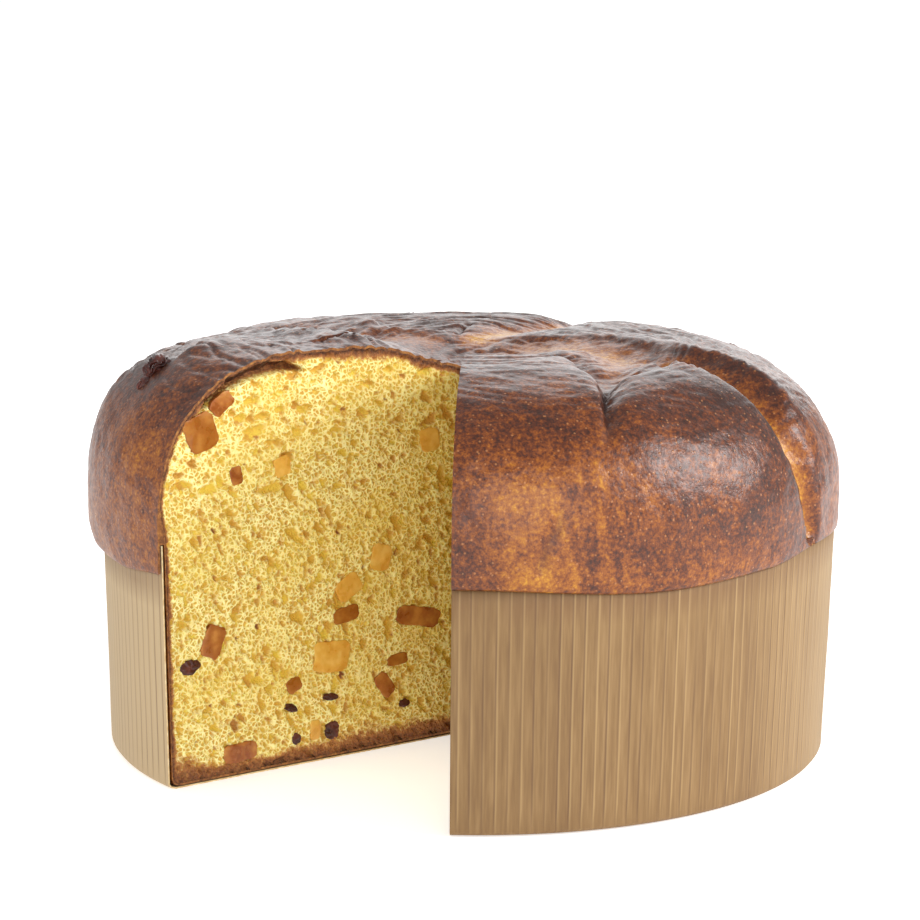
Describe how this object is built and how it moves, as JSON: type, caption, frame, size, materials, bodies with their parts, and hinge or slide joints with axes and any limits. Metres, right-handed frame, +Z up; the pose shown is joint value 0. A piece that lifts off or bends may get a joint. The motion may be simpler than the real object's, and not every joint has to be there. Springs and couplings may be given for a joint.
{
  "type": "panettone",
  "caption": "Low, wide panettone in a pleated paper case, with a slice cut out to show the yellow crumb and its candied fruit and raisins.",
  "frame": {"origin": "centre of the paper case's underside", "axes": "+Z up; the missing slice opens towards -Y, its right cut face almost along -Y and its left one 50 degrees further round towards -X"},
  "size_m": [0.219, 0.2197, 0.12],
  "materials": {
    "loaf": "baked crust, satin brown, over open yellow crumb",
    "paper_case": "brown baking paper, finely pleated, printed like pale wood",
    "candied_orange": "moist translucent candied orange peel",
    "candied_citron": "moist translucent golden candied citron",
    "candied_peel": "moist red-brown candied peel",
    "raisin": "dark wrinkled raisin skin"
  },
  "bodies": {
    "root": {"candied_citron_01": "candied_citron", "candied_citron_02": "candied_citron", "candied_citron_03": "candied_citron", "candied_citron_04": "candied_citron", "candied_citron_05": "candied_citron", "candied_citron_06": "candied_citron", "candied_citron_07": "candied_citron", "candied_citron_08": "candied_citron", "candied_citron_09": "candied_citron", "candied_orange_01": "candied_orange", "candied_orange_02": "candied_orange", "candied_orange_03": "candied_orange", "candied_orange_04": "candied_orange", "candied_orange_05": "candied_orange", "candied_orange_06": "candied_orange", "candied_orange_07": "candied_orange", "candied_peel_01": "candied_peel", "candied_peel_02": "candied_peel", "candied_peel_03": "candied_peel", "candied_peel_04": "candied_peel", "candied_peel_05": "candied_peel", "candied_peel_06": "candied_peel", "candied_peel_07": "candied_peel", "candied_peel_08": "candied_peel", "crust_raisin_01": "raisin", "crust_raisin_02": "raisin", "crust_raisin_03": "raisin", "crust_raisin_04": "raisin", "crust_raisin_05": "raisin", "loaf": "loaf", "paper_case": "paper_case", "raisin_01": "raisin", "raisin_02": "raisin", "raisin_03": "raisin", "raisin_04": "raisin", "raisin_05": "raisin", "raisin_06": "raisin", "raisin_07": "raisin", "raisin_08": "raisin", "raisin_09": "raisin", "raisin_10": "raisin"}
  },
  "joints": []
}
